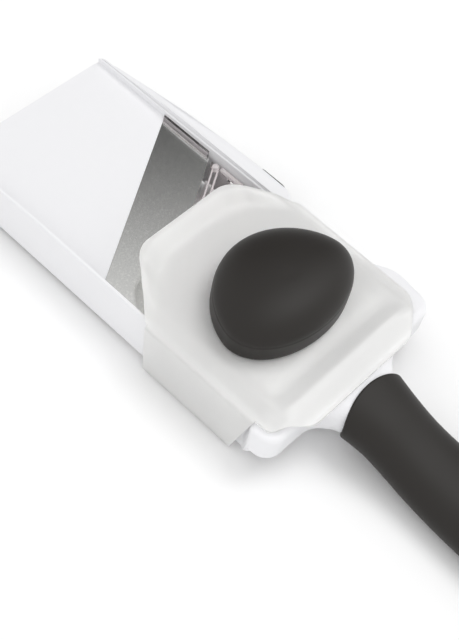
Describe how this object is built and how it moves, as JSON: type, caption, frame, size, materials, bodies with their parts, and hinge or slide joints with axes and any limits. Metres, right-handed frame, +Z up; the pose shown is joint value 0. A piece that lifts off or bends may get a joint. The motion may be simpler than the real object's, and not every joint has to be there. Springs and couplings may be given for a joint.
{
  "type": "mandoline slicer",
  "caption": "Hand-held mandoline slicer: railed white body, slanting steel blade, clear adjustable ramp, thickness knob, frosted food holder with soft knob, and soft-grip handle.",
  "frame": {"origin": "on the underside of the front foot, on the rails' centre line and level with the rails' front end", "axes": "+X from the front lip to the handle, +Y towards the thickness knob, +Z up"},
  "size_m": [0.377, 0.1179, 0.0596],
  "materials": {
    "white_plastic": "smooth white moulded plastic, low gloss",
    "blade_steel": "fine satin stainless steel",
    "clear_plastic": "clear polycarbonate with a faint pink tint",
    "fastener_steel": "plain stainless screw",
    "pin_steel": "ground stainless rod",
    "spring_steel": "drawn spring steel",
    "acetal": "natural white acetal",
    "black_plastic": "black moulded plastic",
    "soft_rubber": "black rubber",
    "soft_grip": "matte black soft-touch elastomer",
    "frosted_plastic": "frosted translucent polypropylene",
    "prong_plastic": "natural translucent polypropylene"
  },
  "bodies": {
    "body": {"body_frame": "white_plastic", "blade": "blade_steel", "blade_carrier": "clear_plastic", "blade_screws": "fastener_steel", "ramp_hinge_pin": "pin_steel", "ramp_spring": "spring_steel", "shaft_bush": "acetal", "cam_bracket": "acetal", "bracket_screws": "fastener_steel", "click_spring": "spring_steel", "click_spring_screw": "fastener_steel", "front_foot": "soft_rubber", "rear_feet": "soft_rubber", "handle_grip": "soft_grip", "hang_ring": "black_plastic"},
    "knob": {"thickness_knob": "black_plastic", "thickness_knob_screw": "fastener_steel", "cam_shaft": "pin_steel", "ramp_cam": "acetal", "shaft_clip": "spring_steel"},
    "ramp": {"ramp": "clear_plastic"},
    "holder": {"holder_shell": "frosted_plastic", "prong_plate": "prong_plastic", "holder_prongs": "pin_steel", "knob_grip": "soft_grip", "knob_core": "white_plastic", "knob_screws": "fastener_steel"}
  },
  "joints": [
    {"name": "thickness_turn", "type": "hinge", "parent": "body", "child": "knob", "pos_m": [0.1016, 0.05, 0.013], "axis": [0, 1, 0], "range_deg": [0, 150]},
    {"name": "ramp_tilt", "type": "hinge", "parent": "body", "child": "ramp", "pos_m": [0.193, 0, 0.0172], "axis": [0, 1, 0], "range_deg": [-1.9, 0]},
    {"name": "holder_slide", "type": "slide", "parent": "body", "child": "holder", "axis": [-1, 0, 0], "range_m": [0, 0.095]}
  ],
  "couplings": [
    {"joint": "ramp_tilt", "follows": "thickness_turn", "ratio": -0.012267}
  ]
}
